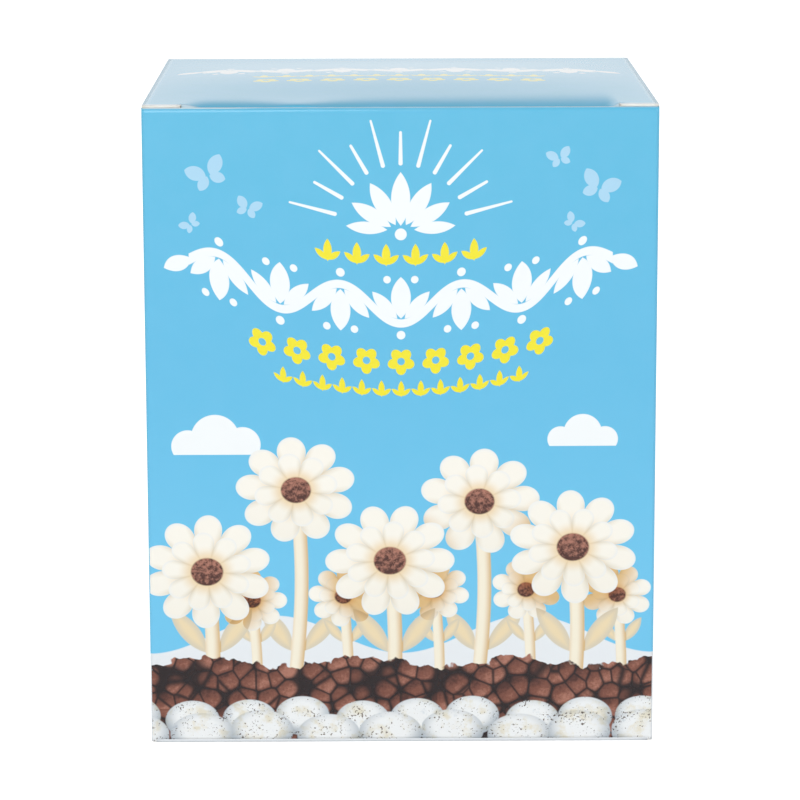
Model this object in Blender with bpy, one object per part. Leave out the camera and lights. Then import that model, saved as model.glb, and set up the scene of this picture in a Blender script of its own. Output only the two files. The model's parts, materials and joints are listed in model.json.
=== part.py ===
"""A mushroom grow kit in its retail carton, standing closed.

The carton is folded from one sheet of white-lined board: a glued tube of four walls, a lid with
a tuck flap, two dust flaps under the lid and a lock bottom of four flaps. Inside stand the kit's
grow block in its film bag and a packet of casing soil.

Metres, +Z up, the printed front faces -Y, and the origin is the middle of the base.
"""

import math

import bmesh
import bpy
from mathutils import Matrix, Vector

MM = 0.001

# Overall size of the closed carton
WIDTH = 130 * MM
DEPTH = 116 * MM
HEIGHT = 166 * MM

# Board, creases and the gap left between pieces that touch
BOARD = 0.6 * MM
GAP = 0.3 * MM
CREASE = 1.0 * MM
CREASE_FOOT = 0.5 * MM
CREASE_STEPS = 4
FOOT_ROUND = 0.4 * MM
FOOT_STEPS = 3

# Glue lap behind the rear left edge
LAP = 14 * MM
SEAM_SET = 0.2 * MM

# Lid: it bows down to the tuck crease between two slit corners
LID_SIDE_GAP = 0.2 * MM
LID_AXIS_OUT = 0.25 * MM
SHOULDER = 10 * MM
SLIT = 1.0 * MM
BOW_DROP = 2.4 * MM
BOW_LENGTH = 40 * MM
BOW_POWER = 6  # the drop grows with this power of the way to the front
BOW_EASE = 7 * MM
BOW_ROWS = 10
BOW_COLUMNS = 4
BEND_RADIUS = 1.8 * MM
BEND_ROWS = 7

# Tuck flap: it leans in so that it swings out past the front wall
TUCK_LENGTH = 18 * MM
TUCK_LEAN = math.radians(12)
TUCK_SIDE_GAP = 2 * MM
TUCK_TAPER = 2.5 * MM
TUCK_CORNER = 8 * MM

# Dust flaps: they slope down a little into the carton
DUST_LENGTH = 48 * MM
DUST_SLOPE = math.radians(5.5)
DUST_FRONT_GAP = 4.4 * MM
DUST_FRONT_TAPER = 3 * MM
DUST_LOCK_STEP = 2 * MM
DUST_LOCK_AT = 13 * MM
DUST_REAR_GAP = 3.5 * MM
DUST_REAR_SLANT = 0.8
DUST_CORNER = 7 * MM

# Lock bottom: the tongue of the front flap passes through the notch of the back flap
FLAP_CORNER = 6 * MM
SIDE_FLAP_MIDDLE_GAP = 6 * MM
TONGUE_START = -4.5 * MM
TONGUE_RAMP = 10 * MM
TONGUE_HALF = 27 * MM
TONGUE_LENGTH = 31 * MM
NOTCH_HALF = 31 * MM
LEG_REACH = 22 * MM
FLAP_TAPER = 4 * MM

# Contents: the bag stands free of the walls, and the packet lies between its neck and the back
BAG_SIDE_GAP = 7.1 * MM
HEADROOM = 45.7 * MM
BLOCK_ROUND = 6 * MM
FILM = 0.4 * MM
ROUND_STEPS = 48
FILLET_STEPS = 4
NECK_RADIUS = 6 * MM
NECK_HEIGHT = 7 * MM
NECK_FLARE = 3 * MM
PACKET_HEIGHT = 24 * MM
PACKET_END_GAP = 14.4 * MM
PACKET_REAR_GAP = 2 * MM
PACKET_NECK_GAP = 3.4 * MM

HALF_W = WIDTH / 2
HALF_D = DEPTH / 2
FRONT_TOP = HEIGHT - BOARD - GAP
LID_FOOT = HEIGHT - CREASE - CREASE_FOOT
BACK_TOP = LID_FOOT - GAP
DUST_TOP = FRONT_TOP
DUST_FOOT = DUST_TOP - CREASE - CREASE_FOOT
SIDE_TOP = DUST_FOOT - GAP
LEVEL = BOARD + GAP
FLOOR_TOP = 3 * LEVEL + BOARD
BAG_RADIUS = min(HALF_W, HALF_D) - 2 * BOARD - BAG_SIDE_GAP
BLOCK_RADIUS = BAG_RADIUS - FILM - GAP
BLOCK_BASE = FLOOR_TOP + 2 * GAP + FILM
BLOCK_TOP = HEIGHT - HEADROOM


def clear_scene():
    for item in list(bpy.data.objects):
        bpy.data.objects.remove(item)


def material(name, colour, roughness, metallic=0.0):
    made = bpy.data.materials.new(name)
    made.use_nodes = True
    shader = made.node_tree.nodes["Principled BSDF"]
    shader.inputs["Base Color"].default_value = (*colour, 1)
    shader.inputs["Roughness"].default_value = roughness
    shader.inputs["Metallic"].default_value = metallic
    return made


def add_object(name, bm, look, smooth=False):
    """Puts a bmesh in the scene as a named object with its material."""
    mesh = bpy.data.meshes.new(name)
    bm.to_mesh(mesh)
    bm.free()
    made = bpy.data.objects.new(name, mesh)
    bpy.context.scene.collection.objects.link(made)
    mesh.materials.append(look)
    if smooth:
        mesh.shade_smooth()
        mesh.set_sharp_from_angle(angle=math.radians(35))
    return made


def hinge_at(piece, point, parent=None):
    """Puts a moving piece's origin on its crease, and hangs it on the piece that carries it."""
    piece.data.transform(Matrix.Translation(-Vector(point)))
    piece.location = Vector(point)
    if parent:
        piece.parent = parent
        piece.location -= parent.location


def arc(cx, cy, radius, start, end, steps):
    """Points on an arc in the plane, its two ends included, angles in degrees."""
    turn = [math.radians(start + (end - start) * i / steps) for i in range(steps + 1)]
    return [(cx + radius * math.cos(a), cy + radius * math.sin(a)) for a in turn]


def rounded(points, corners, steps=4):
    """An outline whose corners are rounded, corners maps a point's index to its radius."""
    out = []
    for i, here in enumerate(points):
        radius = corners.get(i, 0)
        if not radius:
            out.append(here)
            continue
        p, a, b = Vector(here), Vector(points[i - 1]), Vector(points[(i + 1) % len(points)])
        to_a, to_b = (a - p).normalized(), (b - p).normalized()
        half = to_a.angle(to_b) / 2
        reach = radius / math.tan(half)
        centre = p + (to_a + to_b).normalized() * radius / math.sin(half)
        start, end = p + to_a * reach - centre, p + to_b * reach - centre
        swing = start.angle_signed(end)
        for k in range(steps + 1):
            turned = start.copy()
            turned.rotate(Matrix.Rotation(-swing * k / steps, 2))
            out.append(tuple(centre + turned))
    return out


def sheet(name, bm, outward, look):
    """Board from the sheet of its printed face, outward is the way that face 0 looks."""
    bmesh.ops.remove_doubles(bm, verts=bm.verts, dist=0.00001)
    bmesh.ops.recalc_face_normals(bm, faces=bm.faces)
    bm.faces.ensure_lookup_table()
    bm.normal_update()
    if bm.faces[0].normal.dot(Vector(outward)) < 0:
        bmesh.ops.reverse_faces(bm, faces=bm.faces)
    made = add_object(name, bm, look)
    thick = made.modifiers.new("board", "SOLIDIFY")
    thick.thickness = BOARD
    thick.offset = -1
    thick.use_even_offset = True
    return made


def flat_flap(name, outline, place, outward, look):
    """A flat flap of board from its outline, place maps an outline point to space."""
    bm = bmesh.new()
    bm.faces.new([bm.verts.new(place(*p)) for p in outline])
    return sheet(name, bm, outward, look)


def prism(name, loops, look=None):
    """A closed body through loops of equal length, one above the other, lowest first."""
    bm = bmesh.new()
    rings = [[bm.verts.new(p) for p in loop] for loop in loops]
    bm.faces.new(reversed(rings[0]))
    bm.faces.new(rings[-1])
    count = len(rings[0])
    for low, high in zip(rings, rings[1:]):
        for i in range(count):
            j = (i + 1) % count
            bm.faces.new((low[i], low[j], high[j], high[i]))
    return add_object(name, bm, look)


def cut_away(target, cutter):
    cutter.hide_render = True
    cutter.display_type = "WIRE"
    made = target.modifiers.new(cutter.name, "BOOLEAN")
    made.operation = "DIFFERENCE"
    made.solver = "EXACT"
    made.object = cutter


def box_cutter(name, low, high):
    corners = [(low[0], low[1]), (high[0], low[1]), (high[0], high[1]), (low[0], high[1])]
    return prism(name, [[(x, y, z) for x, y in corners] for z in (low[2], high[2])])


def outer_outline(inset):
    """The tube's outside from above, anticlockwise, with the seam at the rear left edge."""
    w, d, r = HALF_W - inset, HALF_D - inset, CREASE - inset
    seam = -HALF_W + CREASE + SEAM_SET
    return (
        arc(w - r, d - r, r, 0, 90, CREASE_STEPS)
        + [(seam, d), (seam, d - BOARD)]
        + arc(-w + r, d - BOARD - r, r, 90, 180, CREASE_STEPS)
        + arc(-w + r, -d + r, r, 180, 270, CREASE_STEPS)
        + arc(w - r, -d + r, r, 270, 360, CREASE_STEPS)
    )


def inner_outline():
    """The tube's inside, with the glue lap's step on the back wall."""
    w, d, r = HALF_W, HALF_D, CREASE
    inner = CREASE - BOARD
    return (
        arc(w - r, d - r, inner, 0, 90, CREASE_STEPS)
        + [(-w + LAP, d - BOARD), (-w + LAP, d - 2 * BOARD)]
        + arc(-w + r, d - BOARD - r, inner, 90, 180, CREASE_STEPS)
        + arc(-w + r, -d + r, inner, 180, 270, CREASE_STEPS)
        + arc(w - r, -d + r, inner, 270, 360, CREASE_STEPS)
    )


def build_walls(look):
    """The glued tube: its back and side walls end lower, under the creases of lid and dust flaps."""
    loops = []
    for k in range(FOOT_STEPS + 1):
        angle = math.pi / 2 * k / FOOT_STEPS
        inset = FOOT_ROUND * (1 - math.sin(angle))
        z = FOOT_ROUND * (1 - math.cos(angle))
        loops.append([(x, y, z) for x, y in outer_outline(inset)])
    loops.append([(x, y, FRONT_TOP) for x, y in outer_outline(0)])
    walls = prism("carton_walls", loops, look)
    over = 5 * MM
    hollow = [[(x, y, z) for x, y in inner_outline()] for z in (-over, HEIGHT + over)]
    cut_away(walls, prism("hollow", hollow))
    back_y = HALF_D - CREASE - BOARD
    back = box_cutter(
        "back_top", (-HALF_W - over, back_y, BACK_TOP), (HALF_W + over, HALF_D + over, HEIGHT + over)
    )
    cut_away(walls, back)
    for side, label in ((-1, "left"), (1, "right")):
        near, far = HALF_W - 2 * CREASE, HALF_W + over
        low_x, high_x = sorted((side * near, side * far))
        reach = HALF_D - CREASE - BOARD
        top = box_cutter(
            label + "_top", (low_x, -reach, SIDE_TOP), (high_x, reach, HEIGHT + over)
        )
        cut_away(walls, top)
    return walls


def smooth_step(x):
    x = min(1, max(0, x))
    return x * x * (3 - 2 * x)


BOW_SLOPE = math.atan(BOW_POWER * BOW_DROP / BOW_LENGTH)
BEND_FRONT = -HALF_D + BOARD + GAP
BEND_START = BEND_FRONT + BEND_RADIUS * (1 - math.sin(BOW_SLOPE))
BEND_END_ANGLE = math.pi / 2 + TUCK_LEAN
SLIT_AT = HALF_W - SHOULDER


def bend_point(angle):
    """(y, z) on the outside of the tuck crease where the sheet has turned down by angle."""
    y = BEND_START - BEND_RADIUS * (math.sin(angle) - math.sin(BOW_SLOPE))
    z = HEIGHT - BOW_DROP - BEND_RADIUS * (math.cos(BOW_SLOPE) - math.cos(angle))
    return y, z


def lid_rows():
    """Rows of the lid's sheet from the rear crease to the tuck crease.

    Each is (y, z, drop, shoulder): a point of the middle profile without its bow, the share of
    the bow, and where the shoulder beside the slit has the row, None on rows both share.
    """
    rows = [(HALF_D, LID_FOOT, 0.0, None)]
    for y, z in arc(HALF_D - CREASE, HEIGHT - CREASE, CREASE, 0, 90, CREASE_STEPS):
        rows.append((y, z, 0.0, None))
    for k in range(BOW_ROWS + 1):
        share = k / BOW_ROWS
        rows.append((BEND_START + BOW_LENGTH * (1 - share), HEIGHT, share**BOW_POWER, None))
    for k in range(1, BEND_ROWS + 1):
        share = k / BEND_ROWS
        y, z = bend_point(BOW_SLOPE + (BEND_END_ANGLE - BOW_SLOPE) * share)
        shoulder_y = BEND_START + (-HALF_D - BEND_START) * share
        rows.append((y, z + BOW_DROP, 1.0, shoulder_y))
    return rows


def lid_columns():
    """Columns across the lid: its edges, the slit's two sides, and where the bow fades out."""
    edge = HALF_W - LID_SIDE_GAP
    half = [edge, SLIT_AT + SLIT]
    half += [SLIT_AT - BOW_EASE * k / BOW_COLUMNS for k in range(BOW_COLUMNS + 1)]
    return [-x for x in half] + half[::-1]


def build_lid(look):
    """Lid with its rear crease and the start of the tuck crease, between slit shoulders."""
    bm = bmesh.new()
    columns = lid_columns()
    grid = []
    for y, z, drop, shoulder_y in lid_rows():
        line = []
        for x in columns:
            if shoulder_y is not None and abs(x) > SLIT_AT + SLIT / 2:
                line.append(bm.verts.new((x, shoulder_y, HEIGHT)))
            else:
                bow = BOW_DROP * drop * smooth_step((SLIT_AT - abs(x)) / BOW_EASE)
                line.append(bm.verts.new((x, y, z - bow)))
        grid.append((line, shoulder_y is not None))
    for (near, _), (far, in_bend) in zip(grid, grid[1:]):
        for i in range(len(columns) - 1):
            middle = abs(columns[i] + columns[i + 1]) / 2
            if in_bend and SLIT_AT < middle < SLIT_AT + SLIT:
                continue
            bm.faces.new((near[i], far[i], far[i + 1], near[i + 1]))
    lid = sheet("lid", bm, (0, 1, 0), look)
    hinge_at(lid, (0, HALF_D + LID_AXIS_OUT, LID_FOOT))
    return lid


def build_tuck_flap(look, lid):
    """The flap that tucks in behind the front wall, from its crease to its rounded corners."""
    crease = Vector((0, *bend_point(BEND_END_ANGLE)))
    down = Vector((0, math.sin(TUCK_LEAN), -math.cos(TUCK_LEAN)))
    root = crease + down * GAP
    half = HALF_W - BOARD - TUCK_SIDE_GAP
    outline = [
        (-half, 0), (half, 0), (half - TUCK_TAPER, TUCK_LENGTH), (-half + TUCK_TAPER, TUCK_LENGTH)
    ]
    outline = rounded(outline, {2: TUCK_CORNER, 3: TUCK_CORNER})
    flap = flat_flap(
        "tuck_flap", outline, lambda x, s: root + down * s + Vector((x, 0, 0)), (0, -1, 0), look
    )
    hinge_at(flap, crease, lid)
    return flap


def build_dust_flap(side, name, look):
    """A dust flap: its crease, a locking step at the front and a slanted rear edge."""
    front = -HALF_D + BOARD + DUST_FRONT_GAP
    rear = HALF_D - DUST_REAR_GAP
    start = CREASE * (1 + math.sin(DUST_SLOPE))
    tip_rear = HALF_D - DUST_REAR_GAP - DUST_REAR_SLANT * DUST_LENGTH
    outline = [
        (start, rear),
        (start, front),
        (DUST_LOCK_AT, front),
        (DUST_LOCK_AT + DUST_LOCK_STEP, front + DUST_LOCK_STEP),
        (DUST_LENGTH, front + DUST_LOCK_STEP + DUST_FRONT_TAPER),
        (DUST_LENGTH, tip_rear),
    ]
    outline = rounded(outline, {4: DUST_CORNER, 5: DUST_CORNER})
    centre = Vector((side * (HALF_W - CREASE), 0, DUST_TOP - CREASE))
    top = centre + Vector((-side * math.sin(DUST_SLOPE), 0, math.cos(DUST_SLOPE))) * CREASE
    inward = Vector((-side * math.cos(DUST_SLOPE), 0, -math.sin(DUST_SLOPE)))
    bm = bmesh.new()
    verts = [bm.verts.new(top + inward * (q - start) + Vector((0, y, 0))) for q, y in outline]
    bm.faces.new(verts)
    root = bm.edges.get((verts[0], verts[1]))
    turned_down = bmesh.ops.spin(
        bm,
        geom=[root, verts[0], verts[1]],
        cent=centre,
        axis=(0, side, 0),
        angle=math.pi / 2 + DUST_SLOPE,
        steps=CREASE_STEPS,
    )["geom_last"]
    foot = [item for item in turned_down if isinstance(item, bmesh.types.BMEdge)]
    dropped = bmesh.ops.extrude_edge_only(bm, edges=foot)["geom"]
    foot_verts = [item for item in dropped if isinstance(item, bmesh.types.BMVert)]
    bmesh.ops.translate(bm, verts=foot_verts, vec=(0, 0, -CREASE_FOOT))
    flap = sheet(name, bm, (0, 0, 1), look)
    hinge_at(flap, (side * HALF_W, 0, DUST_FOOT))
    return flap


def build_tongue_flap(look):
    """Front bottom flap: it lies outermost, and its tongue ramps up through the notch."""
    root_y = -HALF_D + BOARD + GAP
    half = HALF_W - BOARD - GAP
    rise = 3 * LEVEL
    ramp_end = TONGUE_START + TONGUE_RAMP
    tip = TONGUE_START + TONGUE_LENGTH
    bm = bmesh.new()
    base = [
        (-TONGUE_HALF, TONGUE_START), (-half + 2 * FLAP_TAPER, TONGUE_START),
        (-half + FLAP_TAPER, root_y / 2), (-half, root_y),
        (half, root_y), (half - FLAP_TAPER, root_y / 2),
        (half - 2 * FLAP_TAPER, TONGUE_START), (TONGUE_HALF, TONGUE_START),
    ]
    base = rounded(base, {1: FLAP_CORNER, 6: FLAP_CORNER})
    low = [bm.verts.new((x, y, 0)) for x, y in base]
    bm.faces.new(low)
    left, right = low[0], low[-1]
    high = [bm.verts.new((x, ramp_end, rise)) for x in (-TONGUE_HALF, TONGUE_HALF)]
    bm.faces.new((left, right, high[1], high[0]))
    end = [
        (TONGUE_HALF, ramp_end), (TONGUE_HALF - FLAP_TAPER, tip),
        (-TONGUE_HALF + FLAP_TAPER, tip), (-TONGUE_HALF, ramp_end),
    ]
    end = rounded(end, {1: FLAP_CORNER, 2: FLAP_CORNER})
    tip_verts = [bm.verts.new((x, y, rise)) for x, y in end[1:-1]]
    bm.faces.new([high[1], *tip_verts, high[0]])
    return sheet("bottom_tongue_flap", bm, (0, 0, -1), look)


def build_notched_flap(look):
    """Back bottom flap: the innermost of the three layers, notched for the tongue."""
    root_y = HALF_D - 2 * BOARD - GAP
    half = HALF_W - BOARD - GAP
    notch_y = TONGUE_START + TONGUE_RAMP + BOARD
    leg = half - FLAP_TAPER
    outline = [
        (half, root_y), (leg, -LEG_REACH), (NOTCH_HALF + GAP * 10, -LEG_REACH),
        (NOTCH_HALF, notch_y), (-NOTCH_HALF, notch_y),
        (-NOTCH_HALF - GAP * 10, -LEG_REACH), (-leg, -LEG_REACH), (-half, root_y),
    ]
    corner = FLAP_CORNER
    outline = rounded(outline, {1: corner, 2: corner / 2, 5: corner / 2, 6: corner})
    return flat_flap(
        "bottom_notched_flap", outline, lambda x, y: (x, y, 2 * LEVEL), (0, 0, -1), look
    )


def build_side_flap(side, name, look):
    """A bottom side flap: it fills the front half and slants away behind the tongue."""
    root = HALF_W - BOARD - GAP
    reach = HALF_D - BOARD - 2 * CREASE
    window = NOTCH_HALF + 2 * MM
    step_y = TONGUE_START - 1.5 * MM
    outline = [
        (root, -reach), (root, reach), (root - FLAP_TAPER, reach),
        (window, TONGUE_RAMP), (window, step_y),
        (SIDE_FLAP_MIDDLE_GAP, step_y), (SIDE_FLAP_MIDDLE_GAP + FLAP_TAPER, -reach),
    ]
    outline = rounded(outline, {3: FLAP_CORNER, 5: FLAP_CORNER, 6: FLAP_CORNER})
    return flat_flap(name, outline, lambda x, y: (side * x, y, LEVEL), (0, 0, -1), look)


def turned(name, profile, look):
    """A body turned round Z from a closed profile of (radius, z) that starts and ends on the axis."""
    bm = bmesh.new()
    verts = [bm.verts.new((r, 0, z)) for r, z in profile]
    edges = [bm.edges.new(pair) for pair in zip(verts, verts[1:])]
    bmesh.ops.spin(
        bm, geom=verts + edges, cent=(0, 0, 0), axis=(0, 0, 1), angle=2 * math.pi,
        steps=ROUND_STEPS, use_merge=True,
    )
    bmesh.ops.remove_doubles(bm, verts=bm.verts, dist=0.00001)
    bmesh.ops.recalc_face_normals(bm, faces=bm.faces)
    return add_object(name, bm, look, smooth=True)


def build_block(look):
    """The grow block, a cylinder of sawdust that the mycelium has bound."""
    r, e = BLOCK_RADIUS, BLOCK_ROUND
    profile = [(0, BLOCK_BASE)]
    profile += arc(r - e, BLOCK_BASE + e, e, -90, 0, FILLET_STEPS)
    profile += arc(r - e, BLOCK_TOP - e, e, 0, 90, FILLET_STEPS)
    profile += [(0, BLOCK_TOP)]
    return turned("grow_block", profile, look)


def build_bag(look):
    """The film bag: close round the block, gathered over its top to a short open neck."""
    outside = BAG_RADIUS
    base, top = BLOCK_BASE - GAP - FILM, BLOCK_TOP + GAP + FILM
    e = BLOCK_ROUND + GAP + FILM
    neck = NECK_RADIUS + NECK_FLARE
    profile = [(0, base)]
    profile += arc(outside - e, base + e, e, -90, 0, FILLET_STEPS)
    profile += arc(outside - e, top - e, e, 0, 90, FILLET_STEPS)
    profile += [(NECK_RADIUS + FILM, top), (NECK_RADIUS + FILM, top + NECK_HEIGHT / 2)]
    profile += [(neck + FILM, top + NECK_HEIGHT), (neck, top + NECK_HEIGHT)]
    profile += [(NECK_RADIUS, top + NECK_HEIGHT / 2), (NECK_RADIUS, top - FILM)]
    inner = e - FILM
    profile += arc(outside - e, top - e, inner, 90, 0, FILLET_STEPS)
    profile += arc(outside - e, base + e, inner, 0, -90, FILLET_STEPS)
    profile += [(0, base + FILM)]
    return turned("film_bag", profile, look)


def build_packet(look):
    """The packet of casing soil, a crowned pillow that lies behind the bag's neck."""
    columns, rows = 12, 8
    length = WIDTH - 2 * BOARD - 2 * PACKET_END_GAP
    rear = HALF_D - 2 * BOARD - PACKET_REAR_GAP
    front = NECK_RADIUS + NECK_FLARE + FILM + PACKET_NECK_GAP
    base = BLOCK_TOP + 2 * GAP + FILM
    bm = bmesh.new()
    bmesh.ops.create_grid(bm, x_segments=columns, y_segments=rows, size=0.5)
    under = bmesh.ops.duplicate(bm, geom=bm.verts[:] + bm.edges[:] + bm.faces[:])["geom"]
    under = {v for v in under if isinstance(v, bmesh.types.BMVert)}
    for vert in bm.verts:
        a, b = vert.co.x * 2, vert.co.y * 2
        crown = (1 - a**4) * (1 - b**4)
        height = PACKET_HEIGHT * (0.3 - 0.3 * crown if vert in under else 0.3 + 0.7 * crown)
        pinch = 1 - 0.05 * (a * a + b * b) / 2
        vert.co = (
            a * length / 2 * pinch,
            (rear + front) / 2 + b * (rear - front) / 2 * pinch,
            base + height,
        )
    bmesh.ops.remove_doubles(bm, verts=bm.verts, dist=0.00001)
    bmesh.ops.recalc_face_normals(bm, faces=bm.faces)
    return add_object("soil_packet", bm, look, smooth=True)


def main():
    clear_scene()
    printed = material("printed_board", (0.17, 0.54, 0.79), 0.35)
    board = material("plain_board", (0.78, 0.78, 0.75), 0.7)
    mycelium = material("mycelium_block", (0.72, 0.68, 0.6), 0.85)
    film = material("clear_film", (0.8, 0.83, 0.85), 0.2)
    soil = material("casing_soil", (0.16, 0.07, 0.045), 0.9)

    build_walls(printed)
    lid = build_lid(printed)
    build_tuck_flap(printed, lid)
    build_dust_flap(-1, "dust_flap_left", board)
    build_dust_flap(1, "dust_flap_right", board)
    build_tongue_flap(printed)
    build_notched_flap(board)
    build_side_flap(-1, "bottom_side_flap_left", board)
    build_side_flap(1, "bottom_side_flap_right", board)
    build_block(mycelium)
    build_bag(film)
    build_packet(soil)


main()
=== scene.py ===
import json
import math

import bmesh
import bpy
import numpy as np
from mathutils import Matrix, Vector


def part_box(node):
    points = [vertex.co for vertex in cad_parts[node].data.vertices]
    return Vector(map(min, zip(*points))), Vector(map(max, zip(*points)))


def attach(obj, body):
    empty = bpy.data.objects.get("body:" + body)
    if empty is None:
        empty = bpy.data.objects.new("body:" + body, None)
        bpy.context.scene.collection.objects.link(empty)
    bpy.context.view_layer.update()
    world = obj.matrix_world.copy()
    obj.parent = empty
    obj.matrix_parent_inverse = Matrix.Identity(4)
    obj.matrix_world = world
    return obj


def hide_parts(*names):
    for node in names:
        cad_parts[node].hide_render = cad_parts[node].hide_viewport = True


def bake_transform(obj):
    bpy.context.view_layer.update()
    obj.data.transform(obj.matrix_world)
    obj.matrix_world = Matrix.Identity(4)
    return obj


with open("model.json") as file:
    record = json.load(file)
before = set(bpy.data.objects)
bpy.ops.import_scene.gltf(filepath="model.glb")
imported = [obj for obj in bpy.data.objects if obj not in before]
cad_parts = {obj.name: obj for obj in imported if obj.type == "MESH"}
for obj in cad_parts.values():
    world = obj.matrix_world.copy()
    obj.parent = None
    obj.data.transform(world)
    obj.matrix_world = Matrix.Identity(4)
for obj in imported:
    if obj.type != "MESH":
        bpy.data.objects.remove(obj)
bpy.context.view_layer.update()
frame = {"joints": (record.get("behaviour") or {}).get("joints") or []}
print("frame: the packed carton is loaded")

mm = 0.001


# The frame's own sizes, in mm

def nodeBox(name):  # the lowest and the highest corner of a solid
    low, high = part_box(name)
    return np.array(low) / mm, np.array(high) / mm


wallsHigh = nodeBox("carton_walls")[1]
lidHigh = nodeBox("lid")[1]
tuckLow, tuckHigh = nodeBox("tuck_flap")
dustLow, dustHigh = nodeBox("dust_flap_right")
tongueHigh = nodeBox("bottom_tongue_flap")[1]
notchedLow, notchedHigh = nodeBox("bottom_notched_flap")
sideLow = nodeBox("bottom_side_flap_right")[0]
blockLow, blockHigh = nodeBox("grow_block")
bagLow, bagHigh = nodeBox("film_bag")
packetLow, packetHigh = nodeBox("soil_packet")
jointAt = {joint["name"]: np.array(joint["pos_m"]) / mm for joint in frame["joints"]}

halfWidth = wallsHigh[0]
halfDepth = wallsHigh[1]
height = lidHigh[2]
board = notchedHigh[2] - notchedLow[2]  # thickness of the sheet
gap = sideLow[2] - board
wallTop = wallsHigh[2]
frontTop = wallTop + 0.25  # the closed lid's shoulders rest nearly on it
creaseRadius = 1.0


# Shader helpers: a socket with Python's arithmetic, and a node tree with short ways to add to it

class Wire:
    def __init__(self, paint, socket):
        self.paint = paint
        self.socket = socket

    def __add__(self, other):
        return self.paint.calc("ADD", self, other)

    def __radd__(self, other):
        return self.paint.calc("ADD", other, self)

    def __sub__(self, other):
        return self.paint.calc("SUBTRACT", self, other)

    def __rsub__(self, other):
        return self.paint.calc("SUBTRACT", other, self)

    def __mul__(self, other):
        return self.paint.calc("MULTIPLY", self, other)

    def __rmul__(self, other):
        return self.paint.calc("MULTIPLY", other, self)

    def __truediv__(self, other):
        return self.paint.calc("DIVIDE", self, other)

    def __pow__(self, other):
        return self.paint.calc("POWER", self, other)

    def __abs__(self):
        return self.paint.calc("ABSOLUTE", self)


class Nodes:
    def __init__(self, owner):  # a material or a world
        owner.use_nodes = True
        self.tree = owner.node_tree
        self.tree.nodes.clear()

    def node(self, kind, settings=None, inputs=None):
        made = self.tree.nodes.new("ShaderNode" + kind)
        for key, value in (settings or {}).items():
            setattr(made, key, value)
        for key, value in (inputs or {}).items():
            if isinstance(value, Wire):
                self.tree.links.new(value.socket, made.inputs[key])
            else:
                made.inputs[key].default_value = value
        return made

    def out(self, kind, output, settings=None, inputs=None):
        return Wire(self, self.node(kind, settings, inputs).outputs[output])

    def calc(self, operation, *values, clamp=False):
        return self.out("Math", 0, {"operation": operation, "use_clamp": clamp}, dict(enumerate(values)))

    def ramp(self, value, low, high, first=0.0, second=1.0):
        settings = {"interpolation_type": "SMOOTHSTEP"}
        inputs = {"Value": value, "From Min": low, "From Max": high, "To Min": first, "To Max": second}
        return self.out("MapRange", "Result", settings, inputs)


class Paint(Nodes):  # a material, its coordinates in metres as raw and in mm as flat
    def __init__(self, name, uvName=None):
        self.material = bpy.data.materials.new(name)
        super().__init__(self.material)
        if uvName:
            self.raw = self.out("UVMap", "UV", {"uv_map": uvName})
        else:
            self.raw = self.out("TexCoord", "Object")
        self.flat = [self.vector("DOT_PRODUCT", self.raw, axis) for axis in ((1000, 0, 0), (0, 1000, 0))]

    def vector(self, operation, *values):  # for the operations that give a number
        return self.out("VectorMath", "Value", {"operation": operation}, dict(enumerate(values)))

    def mix(self, share, first, second, how="MIX"):
        settings = {"data_type": "RGBA", "blend_type": how}
        return self.out("Mix", 2, settings, {0: share, 6: first, 7: second})

    def fade(self, first, second, value, *limits):  # from one colour to the other, as the value rises
        return self.mix(self.ramp(value, *limits), first, second)

    def lay(self, ground, colour, distance, soft=0.16):  # the colour inside an outline, on its ground
        return self.mix(self.cover(distance, soft), ground, colour)

    def cover(self, distance, soft):  # 1 inside an outline, from its signed distance in mm
        return self.calc("MULTIPLY_ADD", distance, -1 / soft, 0.5, clamp=True)

    def darken(self, share, colour, shade):  # multiplied by the shade, by this share
        return self.mix(share, colour, self.mix(1.0, colour, shade, "MULTIPLY"))

    def low(self, first, *others):
        for other in others:
            first = self.calc("MINIMUM", first, other)
        return first

    def high(self, first, *others):
        for other in others:
            first = self.calc("MAXIMUM", first, other)
        return first

    def place(self, point, centre=(0, 0), degrees=0, size=(1, 1)):  # a motif's own axes, its size as 1
        turn = math.radians(degrees)
        placed = []
        for share, reach in (((math.cos(turn), math.sin(turn)), size[0]),
                             ((-math.sin(turn), math.cos(turn)), size[1])):
            across, up = share[0] / reach, share[1] / reach
            made = -(centre[0] * across + centre[1] * up)
            for wire, factor in ((point[0], across), (point[1], up)):
                if abs(factor) > 1e-9:  # an unturned motif needs only one of them
                    made = self.calc("MULTIPLY_ADD", wire, factor, made)
            placed.append(made)
        return placed

    def far(self, point):
        return self.vector("LENGTH", self.out("CombineXYZ", 0, inputs={0: point[0], 1: point[1]}))

    def angle(self, point):
        return self.calc("ARCTAN2", point[1], point[0])

    def moved(self, shift=(0, 0, 0), size=(1, 1, 1)):
        return self.out("Mapping", 0, {"vector_type": "POINT"}, {0: self.raw, 1: shift, 3: size})

    def noise(self, size, detail=2.0, roughness=0.5, place=None):  # its size in mm
        inputs = {"Vector": place or self.raw, "Scale": 1000 / size}
        inputs.update({"Detail": detail, "Roughness": roughness})
        return self.out("TexNoise", 0, inputs=inputs)

    def cells(self, size, feature="F1", place=None):
        inputs = {"Vector": place or self.raw, "Scale": 1000 / size}
        return self.out("TexVoronoi", "Distance", {"feature": feature}, inputs)

    def surface(self, colour, roughness, bump, bumpDepth, sockets=None):  # the bump's depth in mm
        relief = {"Height": bump, "Strength": 1.0, "Distance": bumpDepth * mm}
        inputs = {"Base Color": colour, "Roughness": roughness, "Normal": self.out("Bump", 0, inputs=relief)}
        inputs.update(sockets or {})
        shader = self.out("BsdfPrincipled", 0, inputs=inputs)
        self.node("OutputMaterial", inputs={"Surface": shader})
        return self.material


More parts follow.
